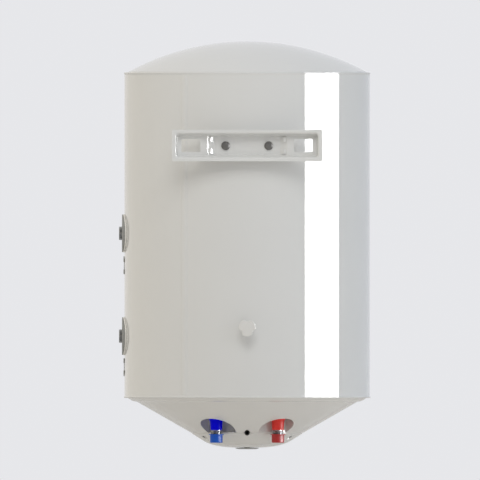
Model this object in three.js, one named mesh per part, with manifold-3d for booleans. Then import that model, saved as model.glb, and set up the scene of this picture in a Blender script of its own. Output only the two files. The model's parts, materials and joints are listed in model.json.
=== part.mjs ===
// Wall-hung tank water heater, 80 litre class, with a heat-exchanger coil and electric elements.
// Millimetres, +Z up. The wall is on the +Y side and the front faces -Y.
// Every function builds in the tank's own frame: the tank's axis is x = y = 0 and z = 0 is the
// jacket's lower edge. The exported group moves that frame so that the part's origin lies on the
// wall plane, at mid-width on the bracket's upper flange.
import * as THREE from "three";
import { mergeVertices } from "three/addons/utils/BufferGeometryUtils.js";
import Module from "manifold-3d";

// Driving dimensions.
const WALL_Y = 262; // tank axis to wall
const ORIGIN_Z = 508.4; // height of the part's origin above the jacket's lower edge
const JACKET = { r: 234.6, bead: 235.4, sheet: 1.2, height: 622, lip: 228.2 };
const DOME = { sphere: 473, apex: 681, edge: 227.5, sheet: 1.4 };
const SEAM_R = 105.5; // between the bottom cover and the service cover
const VESSEL = { r: 205, sheet: 2.5, sphere: 400, top: 650, bottom: 3.5, weldLow: 70, weldHigh: 584.7 };
const PIPE = { x: 58.8, y: 108.5, r: 10.45, neck: 9.4, bore: 7.5, end: -82 };
const POCKET = { x: 55.5, y: 106.8, r: 33.5, wall: 2.2, ceiling: -16.2 };
const BRACKET = { z: 482, halfW: 143.5, halfH: 30, sheet: 2, endDepth: 19, midDepth: 25 };
const BOLT = { x: 41.1, z: 481.5, headR: 8.4, shankR: 5 };
const SPACER_Z = 133.9;
const COIL = { y: 10, high: 314.4, low: 118.2, r: 160, tube: 11, bore: 8.5, turns: 4 };
const NIPPLE = { r: 13.2, bore: 10, end: 244.6 };
const ROSETTE = { r: 36, face: 238.9, collarR: 36.3, rise: 2.6 };
const ARROW = { half: 17, shaftRise: 0.9, rise: 1.6 };
const FLANGE = { r: 83, inner: 55, boltR: 75 };
const ROUND = 48; // facets around the casing
const SCREWS = { r: 93.6, angles: [30, 150, 270] }; // degrees from +X

const MATERIALS = Object.fromEntries(
  Object.entries({
    enamel: [0xeeefee, 0.05, 0.15],
    cover_plastic: [0xe9e9e6, 0, 0.25],
    steel: [0x9a9c9e, 0.9, 0.35],
    dark_steel: [0x55585c, 0.8, 0.45],
    vessel_steel: [0x2f4a66, 0.3, 0.4],
    grey_plastic: [0x8b8d90, 0, 0.5],
    dark_plastic: [0x6f7072, 0, 0.5],
    blue_plastic: [0x0a16c8, 0, 0.4],
    red_plastic: [0xe02a26, 0, 0.4],
    blue_cap: [0x1d5abe, 0, 0.5],
    red_cap: [0xaa282d, 0, 0.5],
    rubber: [0x26272a, 0, 0.8],
    foam: [0xe8dfb8, 0, 0.95],
    copper: [0xb87347, 0.9, 0.35],
    magnesium: [0xb4b6b8, 0.6, 0.6],
    white_plastic: [0xf1f1ef, 0, 0.3],
  }).map(([name, [color, metalness, roughness]]) => [
    name,
    new THREE.MeshStandardMaterial({ name, color, metalness, roughness }),
  ]),
);

const group = new THREE.Group();
group.name = "tank_water_heater";
group.position.set(0, -WALL_Y, -ORIGIN_Z);

function add(name, geometry, material) {
  const mesh = new THREE.Mesh(geometry, MATERIALS[material]);
  mesh.name = name;
  group.add(mesh);
}

// ---- Solids ------------------------------------------------------------------------------------

const wasm = await Module();
wasm.setup();

function solidOf(geometry) {
  const bare = geometry.index ? geometry.toNonIndexed() : geometry.clone();
  bare.deleteAttribute("normal");
  bare.deleteAttribute("uv");
  const merged = mergeVertices(bare, 1e-4);
  return new wasm.Manifold(
    new wasm.Mesh({
      numProp: 3,
      vertProperties: merged.attributes.position.array,
      triVerts: new Uint32Array(merged.index.array),
    }),
  );
}

function geometryOf(solid) {
  const { vertProperties, triVerts } = solid.getMesh();
  return new THREE.BufferGeometry()
    .setAttribute("position", new THREE.BufferAttribute(vertProperties, 3))
    .setIndex(new THREE.BufferAttribute(triVerts, 1));
}

const combine = (how) => (first, ...rest) =>
  geometryOf(rest.reduce((solid, g) => solid[how](solidOf(g)), solidOf(first)));
const join = combine("add");
const cut = combine("subtract");
const common = combine("intersect");

// A solid of revolution about Z. The outline is a closed loop of [radius, z] corners; one that
// touches the axis starts and ends on it.
function turned(outline, segments) {
  const area = outline.reduce((sum, [r, z], i) => {
    const [r2, z2] = outline[(i + 1) % outline.length];
    return sum + r * z2 - r2 * z;
  }, 0);
  const loop = area > 0 ? outline : [...outline].reverse();
  const points = loop.map(([r, z]) => new THREE.Vector2(r, z));
  if (loop[0][0] > 0) points.push(points[0].clone());
  return new THREE.LatheGeometry(points, segments).rotateX(Math.PI / 2);
}

const rod = (r, z0, z1, segments = 20) =>
  turned([[0, z0], [r, z0], [r, z1], [0, z1]], segments);
const tube = (r, bore, z0, z1, segments = 20) =>
  turned([[bore, z0], [r, z0], [r, z1], [bore, z1]], segments);
const box = (x0, x1, y0, y1, z0, z1) =>
  new THREE.BoxGeometry(x1 - x0, y1 - y0, z1 - z0)
    .translate((x0 + x1) / 2, (y0 + y1) / 2, (z0 + z1) / 2);

// Turns a solid built along +Z so that it points along +X or +Y, then lifts it into place.
const alongX = (geometry, y, z) => geometry.rotateY(Math.PI / 2).translate(0, y, z);
const alongY = (geometry, x, z) => geometry.rotateX(-Math.PI / 2).translate(x, 0, z);

const radians = (degrees) => (degrees * Math.PI) / 180;
const polar = (r, degrees) => [r * Math.cos(radians(degrees)), r * Math.sin(radians(degrees))];

// Heights along a spherical cap, and the outline points over it.
const capDrop = (sphere, r) => sphere - Math.sqrt(sphere * sphere - r * r);
const capPoints = (sphere, apex, sign, radii) =>
  radii.map((r) => [r, apex - sign * capDrop(sphere, r)]);

function roundedLoop(halfW, halfH, r, perCorner = 4) {
  const corners = [[1, 1], [-1, 1], [-1, -1], [1, -1]];
  return corners.flatMap(([sx, sz], k) =>
    Array.from({ length: perCorner + 1 }, (_, i) => {
      const [dx, dz] = polar(r, k * 90 + (i * 90) / perCorner);
      return [sx * (halfW - r) + dx, sz * (halfH - r) + dz];
    }),
  );
}

// A solid between two convex loops of [x, z] corners, the first at y0 and the second at y1 < y0.
function lofted(loop0, y0, loop1, y1) {
  const n = loop0.length;
  const at = (loop, y) => loop.flatMap(([x, z]) => [x, y, z]);
  const faces = [];
  for (let i = 0; i < n; i++) {
    const j = (i + 1) % n;
    faces.push(i, j, i + n, j, j + n, i + n);
    if (i > 0 && j > 0) faces.push(0, j, i, n, n + i, n + j);
  }
  const geometry = new THREE.BufferGeometry();
  const corners = [...at(loop0, y0), ...at(loop1, y1)];
  geometry.setAttribute("position", new THREE.Float32BufferAttribute(corners, 3));
  return geometry.setIndex(faces);
}

// A path through points that is sampled at those points.
class Path extends THREE.CatmullRomCurve3 {
  getUtoTmapping(u) {
    return u;
  }
}

function swept(points, r, bore, sides) {
  const profile = new THREE.Shape().absarc(0, 0, r, 0, 2 * Math.PI);
  if (bore) profile.holes.push(new THREE.Path().absarc(0, 0, bore, 0, 2 * Math.PI, true));
  return new THREE.ExtrudeGeometry(profile, {
    extrudePath: new Path(points.map((p) => new THREE.Vector3(...p))),
    steps: points.length - 1,
    curveSegments: sides / 2,
  });
}

const prism = (points, depth) =>
  new THREE.ExtrudeGeometry(new THREE.Shape(points.map((p) => new THREE.Vector2(...p))), {
    depth,
    bevelEnabled: false,
  });
const hexagon = (acrossFlats) =>
  [0, 60, 120, 180, 240, 300].map((a) => polar(acrossFlats / Math.sqrt(3), a));

// ---- Casing ------------------------------------------------------------------------------------

function outerJacket() {
  const { r, bead, sheet, height: h, lip } = JACKET;
  const wall = turned([
    [lip, 0], [r - 0.4, 0], [bead, 1], [bead, 2.6], [r, 3.6],
    [r, h - 3.6], [bead, h - 2.6], [bead, h - 1], [r - 0.4, h], [lip, h],
    [lip, h - sheet], [r - sheet, h - sheet], [r - sheet, sheet], [lip, sheet],
  ], ROUND);
  const lockSeam = box(-5, 5, r - 0.9, r + 0.6, 6, h - 6).rotateZ(-radians(31));
  const holes = [
    alongX(rod(14.6, 200, 250), COIL.y, COIL.high),
    alongX(rod(14.6, 200, 250), COIL.y, COIL.low),
    alongY(rod(6.5, 200, 250), -BOLT.x, BOLT.z),
    alongY(rod(6.5, 200, 250), BOLT.x, BOLT.z),
    alongY(rod(7.6, 200, 250), 0, SPACER_Z),
  ];
  add("outer_jacket", cut(join(wall, lockSeam), ...holes), "enamel");
}

function topCover() {
  const { sphere, apex, edge, sheet } = DOME;
  const top = JACKET.height;
  const outside = capPoints(sphere, apex, 1, [0, 55, 105, 155, 195, edge - 1.5]);
  const inside = capPoints(sphere - sheet, apex - sheet, 1, [edge - 2, 155, 80, 0]);
  const skirt = [
    [edge, top + 0.4], [edge, top - 5], [232.6, top - 5.6], [232.6, top - 7], [edge - 2, top - 7],
  ];
  add("top_cover", turned([...outside, ...skirt, ...inside], ROUND), "enamel");
}

// The cone's underside, used to trim what is built up behind it.
const coneAbove = () =>
  turned([[SEAM_R + 0.3, -67], [212.7, -6.3], [212.7, -5], [SEAM_R + 0.3, -5]], ROUND);
const cableNotch = () => alongY(rod(5.2, 88, 126, 24), 0, -66.4);

function bottomCover() {
  const wall = SEAM_R + 0.3;
  let cover = turned([
    [232.6, 3.4], [232.6, 1.9], [227.5, 1.9], [227.5, -0.2], [218.9, -5.7], [213.7, -6.7],
    [212.7, -6.3], [wall, -67], [wall, -50], [wall + 2, -50], [wall + 2, -63.2],
    [211.5, -4.2], [225.5, 3.4],
  ], ROUND);
  const { r, wall: thick, ceiling } = POCKET;
  for (const side of [-1, 1]) {
    const at = [side * POCKET.x, POCKET.y, 0];
    const shell = rod(r + thick, -80, ceiling + thick, 28).translate(...at);
    const room = cut(rod(r, -100, ceiling, 28).translate(...at), rod(wall + 2, -110, 0, ROUND));
    const hole = rod(PIPE.neck + 0.6, -40, 0).translate(side * PIPE.x, PIPE.y, 0);
    cover = cut(join(cover, common(shell, coneAbove())), room, hole);
  }
  for (const angle of SCREWS.angles) {
    const lug = join(rod(6.5, -56, -50, 16), box(0, 12.9, -6.5, 6.5, -56, -50))
      .translate(SCREWS.r, 0, 0)
      .rotateZ(radians(angle));
    const hole = rod(2.3, -60, -40, 12).translate(...polar(SCREWS.r, angle), 0);
    cover = cut(join(cover, lug), hole);
  }
  add("bottom_cover", cut(cover, cableNotch()), "cover_plastic");
}

function serviceCover() {
  const edge = SEAM_R - 0.3;
  const outside = [
    [edge, -68], [93.5, -75.4], [80, -83.9], [70.6, -88], [56, -91.8], [36, -94.3], [5.4, -95],
  ];
  const inside = [
    [5.4, -92.7], [42, -91.4], [72, -85], [92, -73], [edge - 2, -65.9], [edge - 2, -57],
    [edge, -57],
  ];
  const above = turned([[edge - 0.5, -50], [edge - 0.5, -68.2], [93.5, -75.3], [80, -83.7], [80, -50]], 40);
  let cover = turned([...outside, ...inside], 40);
  SCREWS.angles.forEach((angle, i) => {
    const at = polar(SCREWS.r, angle);
    const boss = rod(6.4, -84, -56.4, 16).translate(...at, 0);
    const recess = rod(4.6, -90, -66, 16).translate(...at, 0);
    const hole = rod(2.5, -70, -50, 12).translate(...at, 0);
    cover = cut(join(cover, common(boss, above)), recess, hole);
    const screw = turned([[0, -74.6], [3.9, -74.6], [3.9, -66.3], [2, -66.3], [2, -50.5], [0, -50.5]], 12);
    const slot = box(-3, 3, -0.5, 0.5, -76, -73.2);
    add(`cover_screw_${i + 1}`, cut(screw, slot).translate(...at, 0), "dark_steel");
  });
  add("service_cover", cut(cover, cableNotch()), "cover_plastic");
  const grommet = turned([[3.2, 99], [4.8, 99], [4.8, 111], [3.2, 111]], 20);
  add("cable_grommet", alongY(grommet, 0, -66.4), "rubber");
}

// ---- Wall side ---------------------------------------------------------------------------------

function wallBracket() {
  const { z, halfW, halfH, sheet, endDepth: end, midDepth: mid } = BRACKET;
  const tray = (w0, h0, d0, w1, h1, d1) =>
    lofted(roundedLoop(w0, h0, 6), WALL_Y - d0, roundedLoop(w1, h1, 4), WALL_Y - d1).translate(0, 0, z);
  const outside = join(
    tray(halfW, halfH, 0, halfW, halfH, sheet),
    tray(139.2, 25.7, 0.5, 135, 20.7, end + sheet),
    tray(78.5, 20.9, end - 1, 65.4, 19.3, mid + sheet),
  );
  const windows = [-1, 1].map((side) =>
    lofted(roundedLoop(18, 12.5, 2.5), WALL_Y - 10, roundedLoop(18, 12.5, 2.5), WALL_Y - 30)
      .translate(side * 107.3, 0, z),
  );
  const holes = [-1, 1].map((side) => alongY(rod(5.6, 220, 250), side * BOLT.x, BOLT.z));
  const tray0 = tray(137.2, 23.7, -1, 133, 18.7, end);
  const tray1 = tray(76.8, 18.9, end - 1, 63.4, 17.25, mid);
  add("wall_bracket", cut(outside, tray0, tray1, ...windows, ...holes), "enamel");

  const strap = cut(
    common(rod(208.4, 452, 511, 64), box(-58, 58, 150, 220, 450, 515)),
    rod(205.5, 440, 520, 64),
  );
  add("mount_strap", strap, "dark_steel");
  for (const [name, x] of [["right", -BOLT.x], ["left", BOLT.x]]) {
    const seat = WALL_Y - mid;
    const bolt = turned([
      [0, 214], [BOLT.shankR, 214], [BOLT.shankR, seat + 0.3], [BOLT.headR, seat + 0.3],
      [BOLT.headR, seat + 2], [BOLT.headR - 1.2, seat + 3.6], [BOLT.headR - 4.5, seat + 4.6], [0, seat + 5],
    ], 20);
    add(`bracket_bolt_${name}`, alongY(bolt, x, BOLT.z), "dark_plastic");
    const boss = common(alongY(tube(13, 5.4, 170, 240, 16), x, BOLT.z), rod(232.2, 440, 520, 64));
    add(`mount_boss_${name}`, cut(boss, rod(208.8, 400, 560, 64)), "dark_steel");
  }
}

function wallSpacer() {
  // Three broad lobes; local y points down, so the notch at 270 degrees is the upper one.
  const star = Array.from({ length: 36 }, (_, i) => {
    const notch = Math.max(0, Math.cos(radians(3 * (i * 10 + 90))));
    return polar(16.4 - 4.6 * notch ** 2, i * 10);
  });
  const foot = cut(prism(star, WALL_Y - 253.5).translate(0, 0, 253.5), rod(4.4, 250, 258.5, 16));
  add("spacer_foot", alongY(foot, 0, SPACER_Z), "cover_plastic");
  add("spacer_stud", alongY(rod(4, 222, 258.2, 16), 0, SPACER_Z), "steel");
  const nut = cut(prism(hexagon(13), 4).translate(0, 0, 237.1), rod(4.4, 230, 250, 16));
  add("spacer_locknut", alongY(nut, 0, SPACER_Z), "steel");
  const insert = turned([[4.4, 222], [7, 222], [7, 235], [11, 235], [11, 236.8], [4.4, 236.8]], 16);
  add("spacer_insert", alongY(insert, 0, SPACER_Z), "cover_plastic");
}

// ---- Coil connections on the side --------------------------------------------------------------

// Bends a flat piece, whose faces look along Z, onto the jacket at the connections' side. Its local
// x runs up the jacket and its local y around it.
function onJacket(geometry, z) {
  const at = geometry.getAttribute("position");
  const start = Math.asin(COIL.y / JACKET.r);
  for (let i = 0; i < at.count; i++) {
    const radius = JACKET.r + at.getZ(i);
    const angle = start + at.getY(i) / JACKET.r;
    at.setXYZ(i, radius * Math.cos(angle), radius * Math.sin(angle), z - at.getX(i));
  }
  return geometry;
}

function sideConnections() {
  const { r, face, collarR, rise } = ROSETTE;
  const seat = () => rod(JACKET.r + rise + 0.3, 0, 620, 64);
  for (const [name, z, arrowZ, points] of [["upper", COIL.high, 253.5, 1], ["lower", COIL.low, 58.7, -1]]) {
    const collar = turned([
      [14.2, 0.4], [26, 0.4], [collarR, 0.4], [collarR, rise], [26, rise], [14.2, rise],
    ], 28);
    add(`collar_${name}`, onJacket(collar, z), "white_plastic");
    const ring = turned([[14, 226], [r, 226], [r, face - 0.6], [r - 1, face], [14, face]], 32);
    add(`rosette_${name}`, cut(alongX(ring, COIL.y, z), seat()), "grey_plastic");
    const nipple = turned([
      [NIPPLE.bore, 203], [NIPPLE.r, 203], [NIPPLE.r, NIPPLE.end - 1],
      [NIPPLE.r - 1, NIPPLE.end], [NIPPLE.bore, NIPPLE.end],
    ], 24);
    add(`coil_nipple_${name}`, alongX(nipple, COIL.y, z), "steel");
    const { half, shaftRise, rise: full } = ARROW;
    const arrow = join(
      prism([[-half, 0], [11 - half, -11], [11 - half, 11]], full - 0.4),
      box(10 - half, half - 8, -3, 3, 0, shaftRise - 0.4),
      box(half - 9, half, -5, 5, 0, full - 0.4),
    ).rotateZ(points > 0 ? 0 : Math.PI).translate(0, 0, 0.4);
    add(`flow_arrow_${name}`, onJacket(arrow, arrowZ), "grey_plastic");
  }
}

// ---- Water pipes -------------------------------------------------------------------------------

function waterPipes() {
  const { y, r, neck, bore, end } = PIPE;
  for (const [name, x, colour] of [["cold", PIPE.x, "blue"], ["hot", -PIPE.x, "red"]]) {
    const pipe = turned([
      [bore, end], [r - 1, end], [r, end + 1], [r, -61.9], [neck, -61.6], [neck, 50], [bore, 50],
    ], 20);
    add(`${name}_pipe`, pipe.translate(x, y, 0), "steel");
    const sleeve = turned([
      [neck + 0.4, -61.3], [11.1, -61.3], [11.7, -50], [12.3, -43], [15.2, -39.6], [15.2, -16.6],
      [neck + 0.4, -16.6],
    ], 20);
    add(`${name}_sleeve`, sleeve.translate(x, y, 0), `${colour}_plastic`);
    const cap = turned([
      [0, -85.5], [11, -85.5], [12, -84.5], [12, -70.6], [14.5, -70.3], [14.5, -68.9], [r + 0.4, -68.9],
      [r + 0.4, -83], [0, -83],
    ], 20);
    add(`${name}_cap`, cap.translate(x, y, 0), `${colour}_cap`);
  }
  const diffuser = turned([
    [0, 62], [24, 62], [24, 60], [11.6, 60], [11.6, 38], [9.8, 38], [9.8, 59], [0, 59],
  ], 16);
  const slots = [box(-20, 20, -4, 4, 52, 58), box(-4, 4, -20, 20, 52, 58)];
  add("cold_diffuser", cut(diffuser, ...slots).translate(PIPE.x, y, 0), "white_plastic");
  add("hot_dip_tube", tube(11.4, 9.8, 38, 616).translate(-PIPE.x, y, 0), "white_plastic");
}

// ---- Vessel ------------------------------------------------------------------------------------

function vessel() {
  const { r, sheet, sphere, top, bottom, weldLow, weldHigh } = VESSEL;
  const nippleHoles = [COIL.high, COIL.low].map((z) => alongX(rod(NIPPLE.r + 0.4, 150, 230), COIL.y, z));
  const shell = tube(r, r - sheet, weldLow, weldHigh, 36);
  add("vessel_shell", cut(shell, ...nippleHoles), "vessel_steel");

  const radii = [0, 80, 150, r];
  const down = [...radii].reverse();
  const scale = (list) => list.map((v) => v * (1 - sheet / r));
  add("vessel_top_head", turned([
    ...capPoints(sphere, top, 1, radii), [r, weldHigh + 0.3], [r - sheet, weldHigh + 0.3],
    ...capPoints(sphere - sheet, top - sheet, 1, scale(down)),
  ], 36), "vessel_steel");

  const { inner } = FLANGE;
  const outside = capPoints(sphere, bottom, -1, [r, 150, 100, inner + 7]);
  const inside = capPoints(sphere - sheet, bottom + sheet, -1, scale([inner, 100, 150, r]));
  const head = turned([
    [r - sheet, weldLow - 0.3], [r, weldLow - 0.3], ...outside, [inner + 7, 3], [FLANGE.r, 3],
    [FLANGE.r, -5], [inner, -5], ...inside,
  ], 32);
  const pipeHoles = [-1, 1].map((side) => rod(PIPE.neck + 0.4, 0, 60).translate(side * PIPE.x, PIPE.y, 0));
  const boltHoles = flangeAngles.map((a) => rod(4.5, -10, 10, 8).translate(...polar(FLANGE.boltR, a), 0));
  add("vessel_bottom_head", cut(head, ...pipeHoles, ...boltHoles), "vessel_steel");
}

function insulation() {
  const foam = turned([
    ...capPoints(DOME.sphere, 676, 1, [0, 80, 155, 215]), [224, 611.5], [231, 611], [231, 5],
    [88, 5], [88, 11], ...capPoints(VESSEL.sphere, VESSEL.bottom - 1.6, -1, [150, 207]),
    ...capPoints(VESSEL.sphere, VESSEL.top + 1.8, 1, [207, 150, 80, 0]),
  ], 28);
  const holes = [
    ...[COIL.high, COIL.low].map((z) => alongX(rod(14, 195, 240, 16), COIL.y, z)),
    ...[-1, 1].map((side) => alongY(rod(13.6, 195, 240, 16), side * BOLT.x, BOLT.z)),
    ...[-1, 1].map((side) => rod(10.2, 0, 60, 16).translate(side * PIPE.x, PIPE.y, 0)),
    alongY(rod(8.2, 200, 240, 16), 0, SPACER_Z),
    box(-60, 60, 180, 209.4, 447, 516),
  ];
  add("insulation_foam", cut(foam, ...holes), "foam");
}

function heatExchanger() {
  const { y, high, low, r, turns } = COIL;
  const lead = [[1.5, 195.6], [1.7, 188], [6, 177], [15, 167], [26, 161.5], [38, r]];
  const start = lead.map(([a, radius]) => [...polar(radius, a), low]);
  const finish = [...lead].reverse().map(([a, radius]) => [...polar(radius, -a), high]);
  finish[finish.length - 1][1] = y;
  const count = Math.round((turns * 360 - 76) / 30) - 1;
  const helix = Array.from({ length: count }, (_, i) => {
    const part = (i + 1) / (count + 1);
    return [...polar(r, 38 + part * (turns * 360 - 76)), low + part * (high - low)];
  });
  add("heat_coil", swept([...start, ...helix, ...finish], COIL.tube, COIL.bore, 6), "vessel_steel");
}

// ---- Flange, elements and controls -------------------------------------------------------------

const flangeAngles = [0, 60, 120, 180, 240, 300];
const elementLegs = [[-38, -13], [-38, 13], [38, -13], [38, 13]];
const ANODE_Y = 40;

function flange() {
  add("flange_gasket", tube(67, FLANGE.inner + 1, -8.3, -5.3, 28), "rubber");
  const holes = [
    ...flangeAngles.map((a) => rod(4.4, -20, 0, 8).translate(...polar(FLANGE.boltR, a), 0)),
    ...elementLegs.map(([x, y]) => rod(4.8, -20, 0, 8).translate(x, y, 0)),
    rod(5.7, -20, 0, 10).translate(0, ANODE_Y, 0),
    rod(7.8, -20, 0, 12),
  ];
  add("flange_plate", cut(rod(FLANGE.r, -13.6, -8.6, 32), ...holes), "steel");
  flangeAngles.forEach((a, i) => {
    const bolt = join(prism(hexagon(13), 5.5).translate(0, 0, -19.4), rod(4, -14, 2, 8));
    add(`flange_bolt_${i + 1}`, bolt.translate(...polar(FLANGE.boltR, a), 0), "steel");
  });
}

function elements() {
  for (const [name, x] of [["left", 38], ["right", -38]]) {
    const arc = [0, 45, 90, 135, 180].map((a) => {
      const [dy, dz] = polar(13, a);
      return [x, dy, 320 + dz];
    });
    const path = [[x, 13, -22], [x, 13, 0], [x, 13, 160], ...arc, [x, -13, 160], [x, -13, 0], [x, -13, -22]];
    add(`heating_element_${name}`, swept(path, 4.2, 0, 8), "copper");
  }
  const anode = turned([
    [0, -22], [8, -22], [8, -13.9], [5, -13.9], [5, 6], [11, 6], [11, 360], [0, 360],
  ], 14);
  add("anode_rod", anode.translate(0, ANODE_Y, 0), "magnesium");
  add("probe_pocket", turned([
    [0, 258], [5, 258], [5, -17], [10, -17], [10, -13.9], [7, -13.9], [7, 262], [0, 262],
  ], 12), "copper");
}

function controls() {
  const legs = [-22, 22].map((x) => rod(3.5, -26, -13.9, 10).translate(x, -38, 0));
  const plate = cut(join(box(-62, 62, -46, 26, -26.8, -25.3), ...legs), rod(6, -30, -20, 16));
  add("control_plate", plate, "steel");
  const body = join(box(-21, 21, -21, 21, -58, -27.1), rod(4, -30, 230, 10));
  add("thermostat_body", body, "dark_plastic");
  add("terminal_block", cut(
    box(-60, -36, -30, 20, -45.1, -27.1),
    ...[-22, -5, 12].map((y) => box(-57, -39, y - 4, y + 4, -50, -40)),
  ), "white_plastic");
  const button = { x: 46, y: -11 };
  const atButton = (r, z0, z1) => rod(r, z0, z1, 12).translate(button.x, button.y, 0);
  const housing = join(box(31, 61, -26, 4, -49, -27.1), atButton(5.5, -51, -48));
  add("safety_cutout", cut(housing, atButton(3.4, -60, -44)), "dark_plastic");
  add("reset_button", atButton(2.8, -53, -46), "red_plastic");
  add("thermostat_spindle", rod(3, -96.2, -58.4, 16), "steel");
  const knob = turned([
    [0, -97.7], [17, -97.7], [20.8, -96.6], [23, -95.4], [4.8, -95.4],
    [4.8, -88], [3.4, -88], [3.4, -96.5], [0, -96.5],
  ], 28);
  const pointer = box(-0.9, 0.9, -15.5, -6, -99, -97.1);
  add("thermostat_knob", cut(knob, pointer), "dark_plastic");
}

outerJacket();
topCover();
bottomCover();
serviceCover();
wallBracket();
wallSpacer();
sideConnections();
waterPipes();
vessel();
insulation();
heatExchanger();
flange();
elements();
controls();

export default group;
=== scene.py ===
"""Looks of a wall-hung tank water heater, built round its CAD frame.

Shapes are written in millimetres in the tank's own frame: the tank's axis is x = y = 0, z = 0 is the
jacket's lower edge and +Y is the wall side. piece() turns them into metres in the part's frame.
"""

import json
import math

import bmesh
import bpy
from mathutils import Matrix, Vector
from mathutils.bvhtree import BVHTree
from mathutils.interpolate import poly_3d_calc


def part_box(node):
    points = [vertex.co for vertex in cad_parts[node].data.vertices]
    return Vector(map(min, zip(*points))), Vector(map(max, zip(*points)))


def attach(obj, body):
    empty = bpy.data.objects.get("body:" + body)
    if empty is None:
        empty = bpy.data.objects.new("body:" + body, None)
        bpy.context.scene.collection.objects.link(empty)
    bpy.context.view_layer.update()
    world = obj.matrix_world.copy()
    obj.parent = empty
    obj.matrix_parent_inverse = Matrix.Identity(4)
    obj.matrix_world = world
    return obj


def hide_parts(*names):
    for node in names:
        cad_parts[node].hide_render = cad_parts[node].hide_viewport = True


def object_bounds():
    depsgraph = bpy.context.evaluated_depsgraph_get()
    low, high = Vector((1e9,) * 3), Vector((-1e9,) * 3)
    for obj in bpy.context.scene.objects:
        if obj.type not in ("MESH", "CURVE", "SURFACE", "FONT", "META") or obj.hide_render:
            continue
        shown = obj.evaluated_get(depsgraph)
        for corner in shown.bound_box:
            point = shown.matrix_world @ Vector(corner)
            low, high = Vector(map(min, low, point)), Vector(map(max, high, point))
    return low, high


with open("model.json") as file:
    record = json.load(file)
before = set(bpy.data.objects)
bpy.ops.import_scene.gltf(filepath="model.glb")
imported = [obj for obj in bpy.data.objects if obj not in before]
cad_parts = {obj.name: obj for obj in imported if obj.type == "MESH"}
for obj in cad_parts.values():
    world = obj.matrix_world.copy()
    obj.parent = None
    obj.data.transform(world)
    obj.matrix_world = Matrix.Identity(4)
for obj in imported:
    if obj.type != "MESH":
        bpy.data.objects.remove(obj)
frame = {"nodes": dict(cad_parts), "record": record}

cad_low, cad_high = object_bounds()
scene = bpy.context.scene

MM = 0.001
jacket_low, jacket_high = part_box("outer_jacket")
TANK_ORIGIN = Vector((0.0, (jacket_low.y + jacket_high.y) / 2, jacket_low.z))
TO_PART = Matrix.Translation(TANK_ORIGIN) @ Matrix.Scale(MM, 4)
HEIGHT = (jacket_high.z - jacket_low.z) / MM

# Driving dimensions, as in the CAD part.
WALL_Y = 262
JACKET_R, BEAD_R, LIP_R = 234.6, 235.4, 228.2
DOME_SPHERE, DOME_APEX, DOME_EDGE = 473, 681, 227.5
SEAM_R = 105.5
PIPE_X, PIPE_Y, PIPE_R, NECK_R, BORE_R = 58.8, 108.5, 10.45, 9.4, 7.5
POCKET_X, POCKET_Y, POCKET_R, CEILING = 55.5, 106.8, 33.5, -16.2
BRACKET_Z, BOLT_X, BOLT_Z = 482, 41.1, 481.5
SPACER_Z, FOOT_BACK, STUD_BORE = 133.9, 253.5, 4.4
COIL_Y, COIL_Z = 10, {"upper": 314.4, "lower": 118.2}
ARROW_Z = {"upper": 253.5, "lower": 58.7}
SCREW_R, SCREW_ANGLES = 93.6, (30, 150, 270)
CONE_NECK = SEAM_R + 0.3  # the bottom cover's inner edge, round the service cover
THREAD_PITCH = {"pipe": 1.814, "spacer": 1.25}  # G1/2 and G3/4 share one pitch
ROUND = 256  # facets round the casing

# ---- Camera, floor and light --------------------------------------------------------------------

VIEW_WIDTH = 0.9163
VIEW_X, VIEW_Z = 0.01365, -0.2068
FLOOR_HALF, FLOOR_DROP = 30.0, 0.14

# The strip softbox spans the directions in which these normals of the jacket, in degrees from +Y
# towards -X, mirror the view from the wall.
STRIP_NORMALS, STRIP_DISTANCE, STRIP_HEIGHT, STRIP_WATTS = (28.07, 48.16), 2.1, 1.56, 130

# The studio's colour at -1, 0 and +1 along each direction; the three are multiplied.
WORLD_TINT = {
    "X": ((0.62, 0.69, 0.79), (0.82, 0.825, 0.85), (1.04, 0.96, 0.81)),
    "Y": ((1, 1, 1), (0.92, 0.92, 0.92), (0.50, 0.50, 0.51)),
    "Z": ((0.84, 0.84, 0.84), (0.97, 0.97, 0.97), (0.84, 0.84, 0.84)),
}


def add_camera():
    data = bpy.data.cameras.new("camera")
    data.type = "ORTHO"
    data.ortho_scale = VIEW_WIDTH
    data.clip_end = 60
    camera = bpy.data.objects.new("camera", data)
    camera.location = (VIEW_X, 3.0, VIEW_Z)
    camera.rotation_euler = (math.radians(90), 0, math.radians(180))
    scene.collection.objects.link(camera)
    scene.camera = camera


def add_floor(material):
    half, level = FLOOR_HALF, cad_low.z - FLOOR_DROP
    mesh = bpy.data.meshes.new("floor")
    corners = [(-half, -half, level), (half, -half, level), (half, half, level), (-half, half, level)]
    mesh.from_pydata(corners, [], [(0, 1, 2, 3)])
    mesh.materials.append(material)
    floor = bpy.data.objects.new("floor", mesh)
    scene.collection.objects.link(floor)


def area_light(name, centre, target, size, watts, colour, diffuse=True, glossy=True):
    data = bpy.data.lights.new(name, "AREA")
    data.shape = "RECTANGLE"
    data.size, data.size_y = size
    data.energy = watts
    data.color = colour
    light = bpy.data.objects.new(name, data)
    light.location = centre
    light.rotation_mode = "QUATERNION"
    light.rotation_quaternion = (Vector(target) - Vector(centre)).to_track_quat("-Z", "Y")
    light.visible_camera = False
    light.visible_diffuse = diffuse
    light.visible_glossy = glossy
    scene.collection.objects.link(light)


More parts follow.
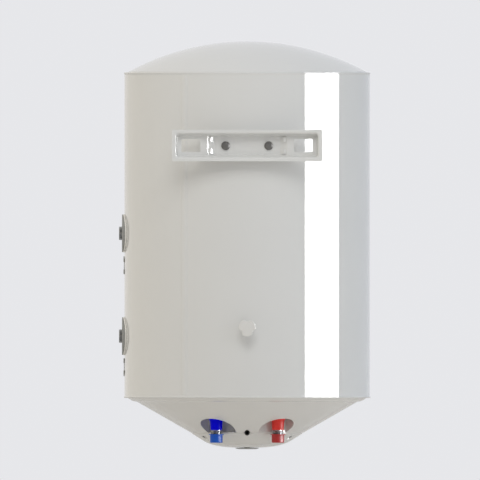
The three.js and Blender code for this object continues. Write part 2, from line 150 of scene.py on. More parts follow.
def strip_panel():
    """A tall softbox that shows in the jacket as an upright highlight."""
    ends = []
    for normal in STRIP_NORMALS:
        n, mirrored = math.radians(normal), math.radians(2 * normal)
        start = Vector((-math.sin(n), math.cos(n), 0)) * JACKET_R * MM
        ends.append(start + Vector((-math.sin(mirrored), math.cos(mirrored), 0)) * STRIP_DISTANCE)
    axis = Vector((0, TANK_ORIGIN.y, 0))
    middle = (ends[0] + ends[1]) / 2 + axis + Vector((0, 0, 0.06))
    width = (ends[1] - ends[0]).length
    across = (ends[1] - ends[0]).normalized()
    facing = middle - Vector((across.y, -across.x, 0))
    if (facing - axis).length > (middle - axis).length:
        facing = 2 * middle - facing
    area_light("strip_softbox", middle, facing, (width, STRIP_HEIGHT), STRIP_WATTS, (1, 1, 1), diffuse=False)


def add_world():
    """A pale studio: brighter and warmer on the +X side, cooler and dimmer on the -X side, and dimmer
    above, below and on the camera's side, where the key light takes over."""
    world = bpy.data.worlds.new("studio")
    scene.world = world
    world.use_nodes = True
    nodes, links = world.node_tree.nodes, world.node_tree.links
    nodes.clear()
    coords = nodes.new("ShaderNodeTexCoord")
    split = nodes.new("ShaderNodeSeparateXYZ")
    links.new(coords.outputs["Generated"], split.inputs[0])
    colour = None
    for axis, stops in WORLD_TINT.items():
        remap = nodes.new("ShaderNodeMapRange")
        remap.inputs["From Min"].default_value = -1
        links.new(split.outputs[axis], remap.inputs["Value"])
        ramp = nodes.new("ShaderNodeValToRGB")
        links.new(remap.outputs["Result"], ramp.inputs["Fac"])
        low, high = ramp.color_ramp.elements
        low.color, high.color = (*stops[0], 1), (*stops[2], 1)
        middle = ramp.color_ramp.elements.new(0.5)
        middle.color = (*stops[1], 1)
        if colour is None:
            colour = ramp.outputs["Color"]
            continue
        product = nodes.new("ShaderNodeVectorMath")
        product.operation = "MULTIPLY"
        links.new(colour, product.inputs[0])
        links.new(ramp.outputs["Color"], product.inputs[1])
        colour = product.outputs["Vector"]
    background = nodes.new("ShaderNodeBackground")
    links.new(colour, background.inputs["Color"])
    background.inputs["Strength"].default_value = 1.0
    out = nodes.new("ShaderNodeOutputWorld")
    links.new(background.outputs[0], out.inputs["Surface"])


# ---- Materials ----------------------------------------------------------------------------------


def finish(name, colour, roughness, metallic=0.0, mottle=0.03, mottle_scale=14.0, rough_range=0.04,
           grain=(900.0, 0.00001), stretch=(1, 1, 1), coat=0.0, specular=0.5):
    """A procedural finish: the colour drifts by mottle, roughness by rough_range, and grain is a bump
    of (noise scale, depth in metres). stretch squeezes the grain along an axis."""
    material = bpy.data.materials.new(name)
    material.use_nodes = True
    nodes, links = material.node_tree.nodes, material.node_tree.links
    shader = nodes["Principled BSDF"]
    shader.inputs["Metallic"].default_value = metallic
    shader.inputs["Specular IOR Level"].default_value = specular
    shader.inputs["Coat Weight"].default_value = coat
    shader.inputs["Coat Roughness"].default_value = 0.03
    coords = nodes.new("ShaderNodeTexCoord")

    drift = nodes.new("ShaderNodeTexNoise")
    drift.inputs["Scale"].default_value = mottle_scale
    drift.inputs["Detail"].default_value = 3
    links.new(coords.outputs["Object"], drift.inputs["Vector"])
    ramp = nodes.new("ShaderNodeValToRGB")
    low, high = ramp.color_ramp.elements
    low.position, high.position = 0.3, 0.7
    low.color = (*[c * (1 - mottle) for c in colour], 1)
    high.color = (*[min(1.0, c * (1 + mottle)) for c in colour], 1)
    links.new(drift.outputs["Fac"], ramp.inputs["Fac"])
    links.new(ramp.outputs["Color"], shader.inputs["Base Color"])

    wear = nodes.new("ShaderNodeTexNoise")
    wear.inputs["Scale"].default_value = mottle_scale * 3.7
    wear.inputs["Detail"].default_value = 5
    links.new(coords.outputs["Object"], wear.inputs["Vector"])
    spread = nodes.new("ShaderNodeMapRange")
    spread.inputs["From Min"].default_value = 0.3
    spread.inputs["From Max"].default_value = 0.7
    spread.inputs["To Min"].default_value = max(0.0, roughness - rough_range / 2)
    spread.inputs["To Max"].default_value = roughness + rough_range / 2
    links.new(wear.outputs["Fac"], spread.inputs["Value"])
    links.new(spread.outputs["Result"], shader.inputs["Roughness"])

    scale, depth = grain
    mapping = nodes.new("ShaderNodeMapping")
    mapping.inputs["Scale"].default_value = stretch
    links.new(coords.outputs["Object"], mapping.inputs["Vector"])
    texture = nodes.new("ShaderNodeTexNoise")
    texture.inputs["Scale"].default_value = scale
    texture.inputs["Detail"].default_value = 2
    links.new(mapping.outputs["Vector"], texture.inputs["Vector"])
    bump = nodes.new("ShaderNodeBump")
    bump.inputs["Strength"].default_value = 1
    bump.inputs["Distance"].default_value = depth
    links.new(texture.outputs["Fac"], bump.inputs["Height"])
    links.new(bump.outputs["Normal"], shader.inputs["Normal"])
    return material


FINISHES = {
    "enamel": finish("white_enamel", (0.73, 0.73, 0.715), 0.045, mottle=0.012, mottle_scale=5,
                     rough_range=0.02, grain=(260, 0.0000012), coat=0.25),
    "cover_plastic": finish("cover_gloss", (0.73, 0.72, 0.695), 0.06, mottle=0.012, mottle_scale=8,
                            rough_range=0.03, grain=(420, 0.000002), coat=0.6),
    # The collars are white plastic, but their colour is pushed to near full white, brighter than the enamel,
    # partly as a painted highlight: it lifts the crescent each collar shows beside its rosette, where the
    # lamps leave it shaded.
    "white_plastic": finish("white_plastic", (0.97, 0.95, 0.90), 0.28, mottle=0.015, grain=(1500, 0.000012)),
    "grey_plastic": finish("grey_plastic", (0.33, 0.33, 0.315), 0.42, mottle=0.05, grain=(1600, 0.00002)),
    "steel": finish("zinc_steel", (0.42, 0.43, 0.44), 0.22, 1.0, mottle=0.10, mottle_scale=60,
                    rough_range=0.12, grain=(700, 0.000008), stretch=(1, 1, 0.06)),
    "dark_steel": finish("black_zinc", (0.10, 0.105, 0.11), 0.38, 0.7, mottle=0.15, mottle_scale=70,
                         grain=(900, 0.00001)),
    "bolt_cap": finish("bolt_cap", (0.155, 0.152, 0.145), 0.36, 0.2, mottle=0.10, mottle_scale=90,
                       grain=(1400, 0.00002)),
    "control_plastic": finish("control_plastic", (0.28, 0.28, 0.27), 0.42, mottle=0.05,
                              grain=(1500, 0.00002)),
    "blue_plastic": finish("blue_plastic", (0.001, 0.001, 0.88), 0.30, mottle=0.05, mottle_scale=40,
                           grain=(1200, 0.000008), specular=0.05),
    "red_plastic": finish("red_plastic", (0.88, 0.045, 0.035), 0.30, mottle=0.05, mottle_scale=40,
                          grain=(1200, 0.000008), specular=0.25),
    "blue_cap": finish("blue_cap", (0.006, 0.105, 0.60), 0.36, mottle=0.05, mottle_scale=50,
                       grain=(1500, 0.000015), specular=0.3),
    "red_cap": finish("red_cap", (0.48, 0.02, 0.02), 0.36, mottle=0.05, mottle_scale=50,
                      grain=(1500, 0.000015)),
    "rubber": finish("rubber", (0.018, 0.018, 0.018), 0.7, mottle=0.2, grain=(2200, 0.00003)),
    "vessel_steel": finish("vessel_enamel", (0.06, 0.12, 0.22), 0.35, mottle=0.12, grain=(500, 0.00003)),
    "foam": finish("foam", (0.80, 0.74, 0.50), 0.9, mottle=0.08, grain=(600, 0.0002)),
    "copper": finish("copper", (0.72, 0.42, 0.24), 0.3, 1.0, mottle=0.1, grain=(900, 0.00001)),
    "magnesium": finish("magnesium", (0.62, 0.63, 0.64), 0.55, 0.8, mottle=0.1, grain=(700, 0.00003)),
    "floor": finish("floor", (0.80, 0.78, 0.74), 0.75, mottle=0.01, mottle_scale=0.7, grain=(30, 0.0001)),
}

# ---- Mesh tools ---------------------------------------------------------------------------------


def softened(outline, steps=4, closed=True):
    """An outline's corners, each with an optional fillet after its coordinates, of which a closed outline
    has two, r and z, and an open one three; the filleted ones are turned into curves."""
    points = []
    count, size = len(outline), 2 if closed else 3
    for i, corner in enumerate(outline):
        here = Vector(corner[:size])
        if len(corner) <= size:
            points.append(here)
            continue
        start, stop = here.copy(), here.copy()
        for end, step in ((start, -1), (stop, 1)):
            beside = outline[(i + step) % count]
            away = Vector(beside[:size]) - here
            share = 0.48 if len(beside) > size else 0.98
            end += away.normalized() * min(corner[size], away.length * share)
        for k in range(steps + 1):
            t = k / steps
            points.append(start * (1 - t) ** 2 + here * 2 * t * (1 - t) + stop * t * t)
    return points


def even(segments):
    return [2 * math.pi * i / segments for i in range(segments)]


def turned(outline, segments=96, wobble=None, steps=4, angles=None):
    """A solid of revolution about Z. wobble(angle, r, z) is added to the radius."""
    points = softened(outline, steps)
    angles = angles or even(segments)
    mesh = bmesh.new()
    rings = []
    for r, z in points:
        if r < 1e-6:
            rings.append([mesh.verts.new((0, 0, z))])
            continue
        ring = []
        for a in angles:
            radius = r + (wobble(a, r, z) if wobble else 0)
            ring.append(mesh.verts.new((radius * math.cos(a), radius * math.sin(a), z)))
        rings.append(ring)
    pairs = list(zip(rings, rings[1:]))
    if len(rings[0]) > 1:
        pairs.append((rings[-1], rings[0]))
    n = len(angles)
    for one, two in pairs:
        for i in range(n):
            j = (i + 1) % n
            corners = [one[i % len(one)], one[j % len(one)], two[j % len(two)], two[i % len(two)]]
            mesh.faces.new(list(dict.fromkeys(corners)))
    bmesh.ops.recalc_face_normals(mesh, faces=mesh.faces)
    return mesh


def skinned(mesh, rings, first_cap):
    """mesh, closed by walls between its rings of corners and a cap at each end."""
    n = len(rings[0])
    for one, two in zip(rings, rings[1:]):
        for i in range(n):
            mesh.faces.new((one[i], one[(i + 1) % n], two[(i + 1) % n], two[i]))
    mesh.faces.new(first_cap)
    mesh.faces.new(rings[-1])
    bmesh.ops.recalc_face_normals(mesh, faces=mesh.faces)
    return mesh


def extruded(loop, z0, z1, round_edge=0.0, steps=3):
    """A prism over a convex-ish loop of (x, y) corners, its two rims rounded by round_edge."""
    mesh = bmesh.new()
    centre = sum((Vector(p) for p in loop), Vector((0, 0))) / len(loop)
    levels = []
    for k in range(steps + 1):
        a = math.pi / 2 * k / steps
        levels.append((round_edge * (1 - math.sin(a)), z0 + round_edge * (1 - math.cos(a))))
    levels += [(inset, z0 + z1 - z) for inset, z in reversed(levels)]
    if not round_edge:
        levels = [(0, z0), (0, z1)]
    rings = []
    for inset, z in levels:
        ring = []
        for p in loop:
            out = Vector(p) - centre
            at = centre + out * (1 - inset / out.length)
            ring.append(mesh.verts.new((at.x, at.y, z)))
        rings.append(ring)
    return skinned(mesh, rings, list(reversed(rings[0])))


def rounded_loop(half_w, half_h, r, per_corner=8):
    corners = ((1, 1), (-1, 1), (-1, -1), (1, -1))
    loop = []
    for k, (sx, sy) in enumerate(corners):
        for i in range(per_corner + 1):
            a = math.radians(90 * k + 90 * i / per_corner)
            loop.append((sx * (half_w - r) + r * math.cos(a), sy * (half_h - r) + r * math.sin(a)))
    return loop


def lofted(sections):
    """A solid through loops of (x, z) corners at given y: [(loop, y), ...]."""
    mesh = bmesh.new()
    rings = [[mesh.verts.new((x, y, z)) for x, z in loop] for loop, y in sections]
    return skinned(mesh, rings, rings[0])


def rod(r, z0, z1, segments=64):
    return turned([(0, z0), (r, z0), (r, z1), (0, z1)], segments)


def block(x0, x1, y0, y1, z0, z1):
    return extruded([(x0, y0), (x1, y0), (x1, y1), (x0, y1)], z0, z1)


def moved(mesh, x=0, y=0, z=0, turn=0):
    bmesh.ops.transform(mesh, verts=mesh.verts,
                        matrix=Matrix.Translation((x, y, z)) @ Matrix.Rotation(turn, 4, "Z"))
    return mesh


def along_x(mesh, y, z):
    """Turns a solid built along +Z so that it points along +X."""
    bmesh.ops.transform(mesh, verts=mesh.verts,
                        matrix=Matrix.Translation((0, y, z)) @ Matrix.Rotation(math.radians(90), 4, "Y"))
    return mesh


def along_y(mesh, x, z):
    """Turns a solid built along +Z so that it points along +Y."""
    bmesh.ops.transform(mesh, verts=mesh.verts,
                        matrix=Matrix.Translation((x, 0, z)) @ Matrix.Rotation(math.radians(-90), 4, "X"))
    return mesh


def scratch_object(mesh):
    data = bpy.data.meshes.new("scratch")
    mesh.to_mesh(data)
    made = bpy.data.objects.new("scratch", data)
    scene.collection.objects.link(made)
    return made


def after_modifiers(base, *tools):
    """base's mesh with its modifiers applied, as a bmesh. base and tools are scratch, and are removed."""
    evaluated = base.evaluated_get(bpy.context.evaluated_depsgraph_get())
    result = bmesh.new()
    result.from_mesh(evaluated.to_mesh())
    evaluated.to_mesh_clear()
    for leftover in (base, *tools):
        data = leftover.data
        bpy.data.objects.remove(leftover)
        bpy.data.meshes.remove(data)
    return result


def combined(how, mesh, *others):
    """mesh after exact booleans with the others: UNION, DIFFERENCE or INTERSECT."""
    base = scratch_object(mesh)
    tools = [scratch_object(other) for other in others]
    for tool in tools:
        modifier = base.modifiers.new("boolean", "BOOLEAN")
        modifier.operation = how
        modifier.solver = "EXACT"
        modifier.object = tool
    result = after_modifiers(base, *tools)
    bmesh.ops.remove_doubles(result, verts=result.verts, dist=1e-4)
    return result


def piece(name, mesh, slot, body, *nodes, sharp=32, bevel=0.0, like=None):
    """Adds a finished piece: mesh in the tank's frame, its finish, the body it rides on and the CAD
    nodes it stands for. like is the uncut surface whose smooth shading it keeps."""
    if bevel:
        mesh = bevelled(mesh, bevel)
    data = bpy.data.meshes.new(name)
    mesh.to_mesh(data)
    data.transform(TO_PART)
    data.shade_smooth()
    data.set_sharp_from_angle(angle=math.radians(sharp))
    if like:
        keep_shading(data, like, sharp)
    data.materials.append(FINISHES[slot])
    made = bpy.data.objects.new(name, data)
    scene.collection.objects.link(made)
    for node in nodes:
        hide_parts(node)
    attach(made, body)


def bevelled(mesh, width, segments=3, angle=30):
    """mesh with its sharp edges rounded by width."""
    base = scratch_object(mesh)
    modifier = base.modifiers.new("bevel", "BEVEL")
    modifier.width, modifier.segments = width, segments
    modifier.limit_method, modifier.angle_limit = "ANGLE", math.radians(angle)
    modifier.miter_outer = "MITER_ARC"
    return after_modifiers(base)


def keep_shading(data, like, sharp):
    """Gives data's faces that lie on the mesh like its smooth normals, so that cuts don't show in the
    gloss."""
    source = bpy.data.meshes.new("shading")
    like.to_mesh(source)
    source.transform(TO_PART)
    source.shade_smooth()
    source.set_sharp_from_angle(angle=math.radians(sharp))
    corners = [n.vector.copy() for n in source.corner_normals]
    spots = [v.co for v in source.vertices]
    tree = BVHTree.FromPolygons(spots, [tuple(p.vertices) for p in source.polygons])
    normals = [n.vector.copy() for n in data.corner_normals]
    for polygon in data.polygons:
        centre = polygon.center
        for corner in polygon.loop_indices:
            at = data.vertices[data.loops[corner].vertex_index].co
            place, facing, index, gap = tree.find_nearest(at.lerp(centre, 0.02))
            if index is None or gap > 6e-5 or facing.dot(polygon.normal) < 0.95:
                continue
            face = source.polygons[index]
            weights = poly_3d_calc([spots[v] for v in face.vertices], place)
            blended = sum((corners[c] * w for c, w in zip(face.loop_indices, weights)), Vector())
            normals[corner] = blended.normalized()
    data.normals_split_custom_set(normals)
    bpy.data.meshes.remove(source)


def polar(r, degrees):
    a = math.radians(degrees)
    return r * math.cos(a), r * math.sin(a)


def cap_arc(sphere, apex, radii):
    return [(r, apex - sphere + math.sqrt(sphere * sphere - r * r)) for r in radii]


# ---- Casing -------------------------------------------------------------------------------------


def outer_jacket():
    h = HEIGHT
    seam = math.radians(90 - 31)
    half = 5 / JACKET_R
    edge = 0.9 / JACKET_R

    def lock_seam(a, r, z):
        away = abs((a - seam + math.pi) % (2 * math.pi) - math.pi)
        rise = min(1.0, max(0.0, (half + edge - away) / edge))
        inside = 6 < z < h - 6 and r > JACKET_R - 0.5
        return 0.5 * rise * rise * (3 - 2 * rise) if inside else 0

    near = [seam + side * (half + edge * k / 4) for side in (-1, 1) for k in range(5)]
    angles = sorted([a for a in even(ROUND) if abs(a - seam) > half + edge * 1.5] + near + [seam])
    outline = [
        (LIP_R, 0.4, 0.3), (LIP_R, 0, 0.3), (JACKET_R - 0.6, 0, 0.5), (BEAD_R, 0.6, 0.8), (BEAD_R, 3.0, 0.8),
        (JACKET_R, 3.8, 0.6), (JACKET_R, 6.5), (JACKET_R, 8), (JACKET_R, h - 8), (JACKET_R, h - 6.5),
        (JACKET_R, h - 3.8, 0.6), (BEAD_R, h - 3.0, 0.8), (BEAD_R, h - 0.6, 0.8), (JACKET_R - 0.6, h, 0.5),
        (LIP_R, h, 0.3), (LIP_R, h - 1.2), (JACKET_R - 1.2, h - 1.6), (JACKET_R - 1.2, 1.6), (LIP_R, 1.2),
    ]
    shell = turned(outline, wobble=lock_seam, angles=angles)
    holes = [along_x(rod(14.6, 190, 260), COIL_Y, z) for z in COIL_Z.values()]
    holes += [along_y(rod(6.5, 190, 260), side * BOLT_X, BOLT_Z) for side in (-1, 1)]
    holes.append(along_y(rod(7.6, 190, 260), 0, SPACER_Z))
    skin = combined("DIFFERENCE", shell, *holes)
    piece("jacket_skin", skin, "enamel", "heater", "outer_jacket", like=shell)


def top_cover():
    radii = [DOME_EDGE - 2.2 - 4.5 * k for k in range(50)]
    outer = cap_arc(DOME_SPHERE, DOME_APEX, [0, *reversed([r for r in radii if r > 3])])
    top = HEIGHT
    rim = [(DOME_EDGE, top + 0.9, 1.6), (DOME_EDGE, top - 5), (232.4, top - 5.6), (232.4, top - 7),
           (DOME_EDGE - 2, top - 7)]
    inner = cap_arc(DOME_SPHERE - 1.4, DOME_APEX - 1.4, [DOME_EDGE - 2, 150, 75, 0])
    piece("top_dome", turned([*outer, *rim, *inner], ROUND), "enamel", "heater", "top_cover")


CONE = [
    (227.5, 1.9), (227.5, -0.2, 0.5), (218.9, -5.7, 2.0), (213.7, -6.9, 1.4), (212.2, -6.1, 1.0),
    *[(CONE_NECK + (212.2 - SEAM_R - 0.3) * (1 - k / 12), -6.1 - 60.9 * k / 12) for k in range(1, 12)],
    (CONE_NECK, -67, 0.8),
]


def cone_above():
    """The room over the cone, which the pockets' shells may fill."""
    return turned([(CONE_NECK, -67), (212.2, -6.1), (212.2, -4), (CONE_NECK, -4)], ROUND)


def cable_notch():
    return along_y(rod(5.2, 88, 126, 48), 0, -66.4)


def bottom_cover():
    neck = CONE_NECK
    shell = turned([
        (225.5, 3.4), (232.4, 3.4), (232.4, 1.9), *CONE, (neck, -50), (neck + 2, -50), (neck + 2, -63.2),
        (211.5, -4.2),
    ], ROUND)
    pocket_shells, cuts = [], []
    for side in (-1, 1):
        at = (side * POCKET_X, POCKET_Y)
        pocket_shells.append(combined("INTERSECT", moved(rod(POCKET_R + 2.2, -80, CEILING + 2.2, 128), *at),
                                      cone_above()))
        room = moved(rod(POCKET_R, -100, CEILING, 128), *at)
        cuts.append(combined("DIFFERENCE", room, rod(neck + 2, -110, 0, ROUND)))
        cuts.append(moved(rod(NECK_R + 0.6, -40, 0), side * PIPE_X, PIPE_Y))
    cover = combined("UNION", shell, *pocket_shells)
    cover = combined("DIFFERENCE", cover, *cuts, cable_notch())
    piece("service_cone", cover, "cover_plastic", "heater", "bottom_cover", like=shell)


def service_cover():
    edge = SEAM_R - 0.3
    outside = [
        (edge, -66.6), (edge, -68.2, 0.9), (93.5, -75.4, 12), (80, -83.9, 9), (70.6, -88, 8), (56, -91.8, 9),
        (36, -94.3, 9), (5.4, -95, 0.4),
    ]
    inside = [
        (5.4, -92.7), (42, -91.4), (72, -85), (92, -73), (edge - 2, -65.9), (edge - 2, -57), (edge, -57),
    ]
    shell = turned([*outside, *inside], 192, steps=6)
    above = turned([(edge - 0.5, -50), (edge - 0.5, -68), (93.5, -74.9), (80, -83.2), (80, -50)], 96)
    bosses, cuts = [], [cable_notch()]
    for angle in SCREW_ANGLES:
        at = polar(SCREW_R, angle)
        bosses.append(combined("INTERSECT", moved(rod(6.4, -84, -56.4, 32), *at), above))
        cuts += [moved(rod(4.6, -90, -66, 48), *at), moved(rod(2.5, -70, -50, 24), *at)]
    cover = combined("DIFFERENCE", combined("UNION", shell, *bosses), *cuts)
    piece("service_dish", cover, "cover_plastic", "heater", "service_cover", like=shell)
    for i, angle in enumerate(SCREW_ANGLES):
        screw = turned([
            (0, -74.6), (3.1, -74.6, 0.2), (3.9, -73.8, 0.5), (3.9, -66.3, 0.2), (2, -66.3), (2, -50.5),
            (0, -50.5),
        ], 32)
        cross = [block(-2.4, 2.4, -0.45, 0.45, -76, -73.2), block(-0.45, 0.45, -2.4, 2.4, -76, -73.2)]
        screw = combined("DIFFERENCE", screw, *cross)
        piece(f"recess_screw_{i + 1}", moved(screw, *polar(SCREW_R, angle)), "dark_steel", "heater",
              f"cover_screw_{i + 1}")
    grommet = turned([(3.2, 99), (4.8, 99, 0.6), (4.8, 111, 0.8), (3.2, 111, 0.5)], 48)
    piece("cable_gland", along_y(grommet, 0, -66.4), "rubber", "heater", "cable_grommet")


# ---- Wall side ----------------------------------------------------------------------------------


def tray(profile, corner=(6, 4)):
    """A pressed tray shape through corners of (half width, half height, depth from the wall[, fillet])."""
    points = softened(profile, 5, closed=False)
    first, last = points[0].z, points[-1].z
    sections = []
    for w, h, depth in points:
        share = (depth - first) / ((last - first) or 1)
        radius = min(corner[0] + (corner[1] - corner[0]) * share, h * 0.8)
        sections.append((rounded_loop(w, h, radius), WALL_Y - depth))
    return moved(lofted(sections), z=BRACKET_Z)


def gusset(side, z):
    """A pressed stiffening pad across the step between an end floor and the middle recess."""
    outline = [(74.5, 20.3), (69.8, 19.7), (62.6, 25.3), (62.6, 26.6), (74.5, 26.6)]
    pad = extruded([(x, -depth) for x, depth in outline], -4.9, 4.9)
    turn = Matrix.Scale(side, 4, (1, 0, 0))
    bmesh.ops.transform(pad, verts=pad.verts, matrix=Matrix.Translation((0, WALL_Y, BRACKET_Z + z)) @ turn)
    bmesh.ops.recalc_face_normals(pad, faces=pad.faces)
    return pad


def wall_bracket():
    end, mid, sheet = 19, 25, 2  # depths of the end floors and the middle recess, and the sheet
    outside = combined(
        "UNION",
        tray([(143.5, 30, 0), (143.5, 30, sheet)], (3, 3)),
        tray([(139.2, 25.7, 0.5), (135, 20.7, end + sheet, 5), (122, 9, end + sheet)]),
        tray([(78.5, 20.9, end - 1), (65.4, 19.3, mid + sheet, 3), (58, 12, mid + sheet)]),
    )
    cuts = [
        tray([(138.8, 26.6, -1), (138.7, 26.5, 0.03), (135.2, 23, 0.03, 4.4), (133.4, 18.8, end, 1.2),
              (125, 11, end)], (6, 4)),
        tray([(79, 19.2, end - 1), (76.4, 18.8, end), (73.4, 18.5, 21.1), (63.4, 17.25, mid, 2.5),
              (55, 9, mid)], (3, 3)),
    ]
    for side in (-1, 1):
        window = rounded_loop(18, 12.5, 2.5)
        opening = lofted([(window, WALL_Y - 10), (window, WALL_Y - 30)])
        cuts.append(moved(opening, side * 107.3, 0, BRACKET_Z))
        cuts.append(along_y(rod(5.6, 220, 250, 48), side * BOLT_X, BOLT_Z))
    bracket = combined("DIFFERENCE", outside, *cuts)
    bracket = combined("UNION", bracket, *[gusset(side, z) for side in (-1, 1) for z in (-11.1, 11.1)])
    piece("bracket_tray", bracket, "enamel", "heater", "wall_bracket", bevel=0.7, sharp=35)
    seat = WALL_Y - mid + 0.3
    for name, x in (("right", -BOLT_X), ("left", BOLT_X)):
        bolt = turned([
            (0, 214), (5, 214, 0.6), (5, seat), (8.4, seat, 0.3), (8.4, seat + 1.8, 0.9),
            (6.6, seat + 3.8, 1.6), (3.6, seat + 4.6, 1.6), (0, seat + 4.7),
        ], 64)
        piece(f"cup_bolt_{name}", along_y(bolt, x, BOLT_Z), "bolt_cap", "heater", f"bracket_bolt_{name}")


def threaded(r, pitch, depth, z0, z1, segments=48, bore=0.0, lead_in=0.8):
    """A bar with a screw thread between z0 and z1, hollow if it has a bore. Over lead_in at each end the
    crest drops to the root."""
    rows = max(4, int((z1 - z0) / pitch * 6))
    outline = [(bore, z0)]
    for k in range(rows + 1):
        outline.append((r, z0 + (z1 - z0) * k / rows))
    outline.append((bore, z1))

    def groove(a, radius, z):
        if radius < r - 0.01:
            return 0
        phase = (z / pitch - a / (2 * math.pi)) % 1.0
        fade = max(0, min(1.0, (z - z0) / lead_in, (z1 - z) / lead_in))
        return -depth * (abs(phase * 2 - 1) * fade + (1 - fade))

    return turned(outline, segments, wobble=groove)


def star_radius(a):
    """Three broad lobes; local y points down, so the upper notch is at 270 degrees."""
    return 16.4 - 4.6 * max(0, math.cos(3 * (a + math.pi / 2))) ** 2


def wall_spacer():
    star = [(star_radius(a) * math.cos(a), star_radius(a) * math.sin(a)) for a in even(120)]
    foot = extruded(star, FOOT_BACK, WALL_Y, round_edge=1.1, steps=4)
    hole = rod(STUD_BORE, 250, 258.5, 48)
    piece("star_foot", along_y(combined("DIFFERENCE", foot, hole), 0, SPACER_Z), "cover_plastic",
          "spacer_star", "spacer_foot", sharp=50)
    stud = threaded(4, THREAD_PITCH["spacer"], 0.55, 222, 258.2)
    piece("threaded_stud", along_y(stud, 0, SPACER_Z), "steel", "spacer_screw", "spacer_stud", sharp=60)
    nut = extruded([polar(13 / math.sqrt(3), 60 * k) for k in range(6)], 237.1, 241.1)
    crown = turned([(0, 236), (6.6, 236), (8.4, 238), (8.4, 240.2), (6.6, 242), (0, 242)], 96)
    nut = combined("DIFFERENCE", combined("INTERSECT", nut, crown), rod(STUD_BORE, 230, 250, 48))
    piece("hex_locknut", along_y(nut, 0, SPACER_Z), "steel", "heater", "spacer_locknut", bevel=0.25)
    insert = turned([
        (STUD_BORE, 222), (7, 222, 0.6), (7, 235), (11, 235.05), (11, 236.4, 0.9), (9.5, 236.8, 0.4),
        (STUD_BORE, 236.8, 0.4),
    ], 64)
    piece("threaded_insert", along_y(insert, 0, SPACER_Z), "cover_plastic", "heater", "spacer_insert")


# ---- Coil connections on the side ---------------------------------------------------------------


def on_jacket(mesh, z):
    """Bends a flat piece, whose local x runs down the jacket and y around it, onto the jacket."""
    start = math.asin(COIL_Y / JACKET_R)
    for v in mesh.verts:
        radius, angle = JACKET_R + v.co.z, start + v.co.y / JACKET_R
        v.co = (radius * math.cos(angle), radius * math.sin(angle), z - v.co.x)
    bmesh.ops.recalc_face_normals(mesh, faces=mesh.faces)
    return mesh


def side_connections():
    for name, z in COIL_Z.items():
        # The collar gets the white_plastic finish, whose near-white colour is partly a painted highlight on
        # its crescent.
        collar = turned([
            *[(14.2 + 2.2 * k, 0.3) for k in range(10)], (36.4, 0.3, 0.2), (36.4, 2.6, 0.9),
            *[(34 - 2.2 * k, 2.6) for k in range(9)], (14.2, 2.6),
        ], 96)
        piece(f"jacket_collar_{name}", on_jacket(collar, z), "white_plastic", "heater", f"collar_{name}")
        ring = turned([
            (14, 226), (36, 226), (36, 238.9, 1.2), (30, 238.9), (29.2, 238.3, 0.5), (19.5, 238.3, 0.5),
            (18.7, 238.9), (14, 238.9, 0.5),
        ], 128)
        rosette = combined("DIFFERENCE", along_x(ring, COIL_Y, z), rod(JACKET_R + 2.9, 0, 620, ROUND))
        piece(f"coil_rosette_{name}", rosette, "grey_plastic", "heater", f"rosette_{name}")
        nipple = threaded(13.2, THREAD_PITCH["pipe"], 0.9, 203, 244.6, 64, bore=10)
        piece(f"threaded_nipple_{name}", along_x(nipple, COIL_Y, z), "steel", "heater",
              f"coil_nipple_{name}", sharp=60)
        arrow = combined(
            "UNION",
            extruded([(-17, 0), (-6, -11), (-6, 11)], 0.3, 1.6, round_edge=0.3),
            block(-7, 9, -3, 3, 0.3, 0.8),
            extruded([(8, -5), (17, -5), (17, 5), (8, 5)], 0.3, 1.6, round_edge=0.3),
        )
        moved(arrow, turn=0 if name == "upper" else math.pi)
        piece(f"arrow_mark_{name}", on_jacket(arrow, ARROW_Z[name]), "grey_plastic", "heater",
              f"flow_arrow_{name}", sharp=50)


# ---- Water pipes --------------------------------------------------------------------------------


def grip_ribs(a, r, z):
    """Shallow vertical ribs round a cap's side."""
    return 0.22 * (0.5 + 0.5 * math.cos(36 * a)) - 0.22 if 11.7 < r < 12.1 and -84 < z < -71.5 else 0


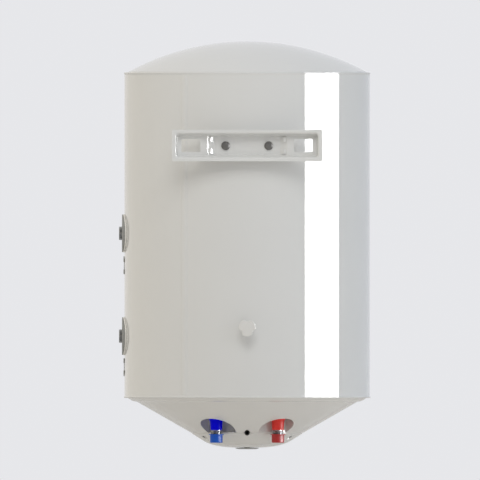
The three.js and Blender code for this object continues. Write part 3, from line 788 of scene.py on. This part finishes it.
def water_pipes():
    for name, x, colour in (("cold", PIPE_X, "blue"), ("hot", -PIPE_X, "red")):
        stub = threaded(PIPE_R, THREAD_PITCH["pipe"], 0.85, -82, -61.9, 64, bore=BORE_R)
        neck = turned([(BORE_R, -61.9), (NECK_R, -61.9), (NECK_R, 50), (BORE_R, 50)], 64)
        piece(f"{name}_stub", moved(combined("UNION", stub, neck), x, PIPE_Y), "steel", "heater",
              f"{name}_pipe", sharp=60)
        sleeve = turned([
            (NECK_R + 0.4, -61.3), (11.1, -61.3, 0.35), (11.35, -56), (11.7, -50), (12.3, -43, 2.5),
            (15.2, -39.6, 0.5), (15.2, -16.6), (NECK_R + 0.4, -16.6),
        ], 96)
        piece(f"{name}_bushing", moved(sleeve, x, PIPE_Y), f"{colour}_plastic", "heater", f"{name}_sleeve")
        cap = turned([
            (0, -85.5), (11, -85.5, 0.5), (12, -84.6, 0.7), (12, -84), (12, -83.2), (12, -72.4), (12, -71.6),
            (12, -70.6, 0.4), (14.5, -70.3, 0.4), (14.5, -68.9, 0.4), (PIPE_R + 0.4, -68.9, 0.3),
            (PIPE_R + 0.4, -83), (0, -83),
        ], 144, wobble=grip_ribs)
        piece(f"{name}_plug", moved(cap, x, PIPE_Y), f"{colour}_cap", f"{name}_dust_cap", f"{name}_cap")


# ---- Thermostat knob ----------------------------------------------------------------------------


def thermostat_knob():
    def scallops(a, r, z):
        return -0.5 * max(0.0, math.cos(18 * a)) ** 2 if r > 21.5 else 0

    knob = turned([
        (0, -97.7), (16.4, -97.7, 1.2), (20.8, -96.7, 1.6), (23, -95.7, 0.3), (23, -95.4), (4.8, -95.4),
        (4.8, -88), (3.4, -88), (3.4, -96.5), (0, -96.5),
    ], 144, wobble=scallops)
    pointer = moved(extruded(rounded_loop(0.9, 4.8, 0.85), -99, -97.1), 0, -10.7)
    knob = combined("DIFFERENCE", knob, pointer)
    piece("control_knob", knob, "control_plastic", "thermostat_control", "thermostat_knob")


# ---- Scene --------------------------------------------------------------------------------------

add_camera()
add_floor(FINISHES["floor"])
add_world()
strip_panel()
aim = (0, TANK_ORIGIN.y, -0.2)
area_light("key", (0.0, 2.15, 1.75), aim, (1.6, 1.3), 25, (1.0, 1.0, 0.98), glossy=False)
area_light("side", (-1.7, 1.5, 0.2), aim, (0.8, 0.8), 3.5, (0.97, 0.99, 1.0), glossy=False)
scene.view_settings.view_transform = "Standard"

outer_jacket()
top_cover()
bottom_cover()
service_cover()
wall_bracket()
wall_spacer()
side_connections()
water_pipes()
thermostat_knob()

for entry in frame["record"]["subparts"]:
    node = frame["nodes"][entry["node"]]
    node.data.materials.clear()
    node.data.materials.append(FINISHES[entry["material_slot"]])
